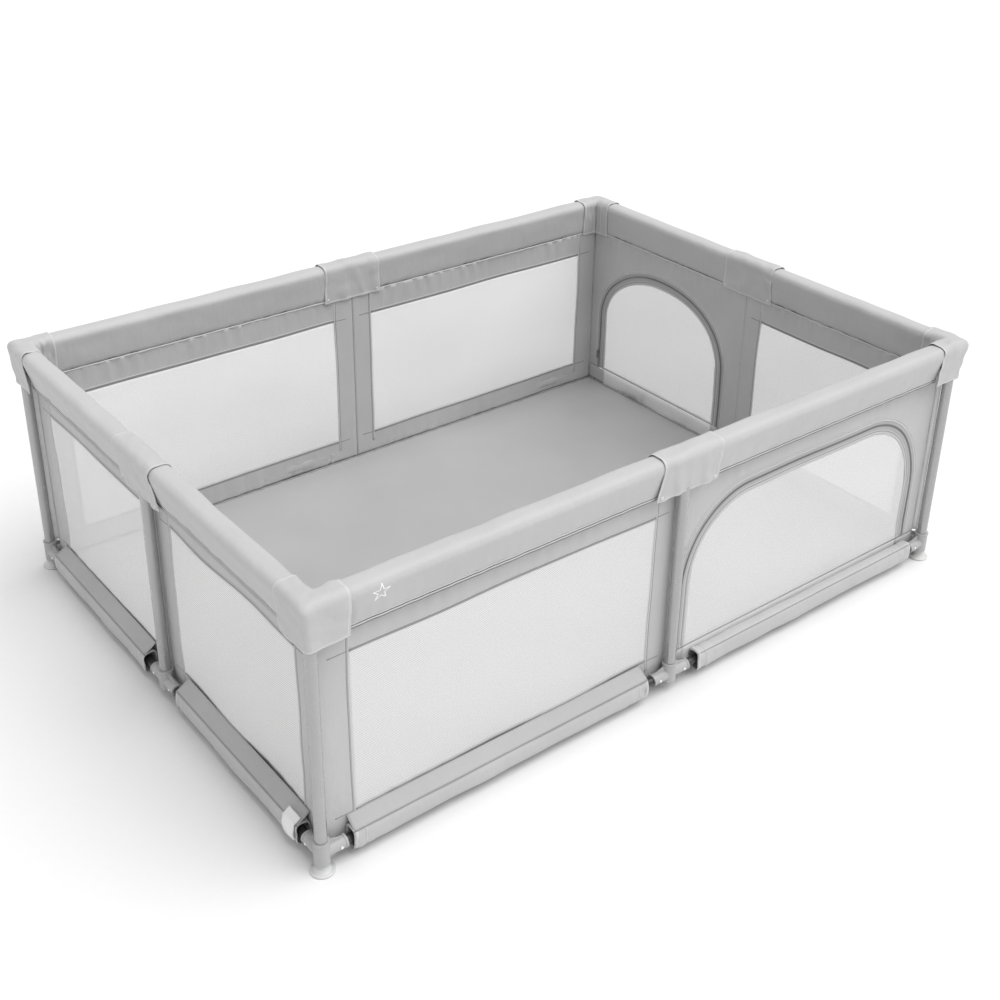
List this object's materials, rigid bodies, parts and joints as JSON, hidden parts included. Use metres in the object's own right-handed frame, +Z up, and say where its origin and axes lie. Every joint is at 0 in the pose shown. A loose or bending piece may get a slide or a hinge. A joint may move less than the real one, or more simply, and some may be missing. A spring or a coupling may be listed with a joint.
{
  "type": "playpen",
  "caption": "Rectangular padded playpen with a tube frame, grey fabric walls, mesh windows, zipped mesh doors and suction feet.",
  "frame": {"origin": "on the floor under the middle of the pen", "axes": "+X along the long side, +Y to the back side, +Z up; the long side with the zipped door faces -Y"},
  "size_m": [2.05, 1.49, 0.686],
  "materials": {
    "post_paint": "satin light grey powder coat",
    "rail_paint": "satin near-black paint",
    "connector_plastic": "moulded light grey, satin",
    "foot_rubber": "soft pale grey, slightly translucent",
    "foam": "closed-cell foam",
    "window_mesh": "fine open knitted mesh",
    "door_mesh": "fine open knitted mesh with a woven edge",
    "zip_tape": "woven zip tape with nylon coil",
    "zip_metal": "nickel plated",
    "button_steel": "plain steel",
    "label": "white woven tape",
    "cover_fabric": "grey coated oxford weave, soft sheen",
    "floor_fabric": "grey coated oxford weave",
    "wall_fabric": "grey coated oxford weave"
  },
  "bodies": {
    "frame": {"bottom_corner_connector_back_left": "connector_plastic", "bottom_corner_connector_back_right": "connector_plastic", "bottom_corner_connector_front_left": "connector_plastic", "bottom_corner_connector_front_right": "connector_plastic", "bottom_rails_back": "rail_paint", "bottom_rails_front": "rail_paint", "bottom_rails_left": "rail_paint", "bottom_rails_right": "rail_paint", "bottom_tee_connectors": "connector_plastic", "care_label": "label", "corner_post_back_left": "post_paint", "corner_post_back_right": "post_paint", "corner_post_front_left": "post_paint", "corner_post_front_right": "post_paint", "corner_wrap_back_left": "cover_fabric", "corner_wrap_back_right": "cover_fabric", "corner_wrap_front_left": "cover_fabric", "corner_wrap_front_right": "cover_fabric", "floor_sheet": "floor_fabric", "mid_post_back": "post_paint", "mid_post_front": "post_paint", "mid_post_left": "post_paint", "mid_post_right": "post_paint", "mid_wrap_back": "cover_fabric", "mid_wrap_front": "cover_fabric", "mid_wrap_left": "cover_fabric", "mid_wrap_right": "cover_fabric", "rail_covers_back": "cover_fabric", "rail_covers_front": "cover_fabric", "rail_covers_left": "cover_fabric", "rail_covers_right": "cover_fabric", "rail_foam_pads": "foam", "rail_sleeves": "wall_fabric", "suction_foot_back_left": "foot_rubber", "suction_foot_back_right": "foot_rubber", "suction_foot_front_left": "foot_rubber", "suction_foot_front_right": "foot_rubber", "top_corner_connectors": "connector_plastic", "top_rail_tubes": "rail_paint", "top_tee_connectors": "connector_plastic", "wall_fabric_back": "wall_fabric", "wall_fabric_front": "wall_fabric", "wall_fabric_left": "wall_fabric", "wall_fabric_right": "wall_fabric", "window_mesh_back": "window_mesh", "window_mesh_front": "window_mesh", "window_mesh_left": "window_mesh", "window_mesh_right": "window_mesh", "zip_tapes": "zip_tape"},
    "front_door": {"front_door_flap": "door_mesh"},
    "side_door": {"side_door_flap": "door_mesh"},
    "front_zip_slider": {"front_zip_slider": "zip_metal"},
    "side_zip_slider": {"side_zip_slider": "zip_metal"},
    "front_zip_pull": {"front_zip_pull": "zip_metal"},
    "side_zip_pull": {"side_zip_pull": "zip_metal"},
    "snap_buttons_front": {"snap_buttons_front": "button_steel"},
    "snap_buttons_right": {"snap_buttons_right": "button_steel"},
    "snap_buttons_back": {"snap_buttons_back": "button_steel"},
    "snap_buttons_left": {"snap_buttons_left": "button_steel"}
  },
  "joints": [
    {"name": "front_door_hinge", "type": "hinge", "parent": "frame", "child": "front_door", "pos_m": [0.4815, -0.695, 0.084], "axis": [1, 0, 0], "range_deg": [0, 90]},
    {"name": "side_door_hinge", "type": "hinge", "parent": "frame", "child": "side_door", "pos_m": [0.975, 0.359, 0.084], "axis": [0, 1, 0], "range_deg": [0, 90]},
    {"name": "front_zip_slide", "type": "slide", "parent": "frame", "child": "front_zip_slider", "axis": [0, 0, 1], "range_m": [0, 0.15]},
    {"name": "side_zip_slide", "type": "slide", "parent": "frame", "child": "side_zip_slider", "axis": [0, 0, 1], "range_m": [-0.04, 0.13]},
    {"name": "front_pull_swing", "type": "hinge", "parent": "front_zip_slider", "child": "front_zip_pull", "pos_m": [0.0339, -0.7022, 0.109], "axis": [-1, 0, 0], "range_deg": [0, 150]},
    {"name": "side_pull_swing", "type": "hinge", "parent": "side_zip_slider", "child": "side_zip_pull", "pos_m": [0.9678, 0.6491, 0.145], "axis": [0, 1, 0], "range_deg": [0, 150]},
    {"name": "snap_buttons_front_press", "type": "slide", "parent": "frame", "child": "snap_buttons_front", "axis": [0, 1, 0], "range_m": [0, 0.0022], "stiffness_N_per_m": 600, "springref_m": -0.002},
    {"name": "snap_buttons_right_press", "type": "slide", "parent": "frame", "child": "snap_buttons_right", "axis": [-1, 0, 0], "range_m": [0, 0.0022], "stiffness_N_per_m": 600, "springref_m": -0.002},
    {"name": "snap_buttons_back_press", "type": "slide", "parent": "frame", "child": "snap_buttons_back", "axis": [0, -1, 0], "range_m": [0, 0.0022], "stiffness_N_per_m": 600, "springref_m": -0.002},
    {"name": "snap_buttons_left_press", "type": "slide", "parent": "frame", "child": "snap_buttons_left", "axis": [1, 0, 0], "range_m": [0, 0.0022], "stiffness_N_per_m": 600, "springref_m": -0.002}
  ]
}
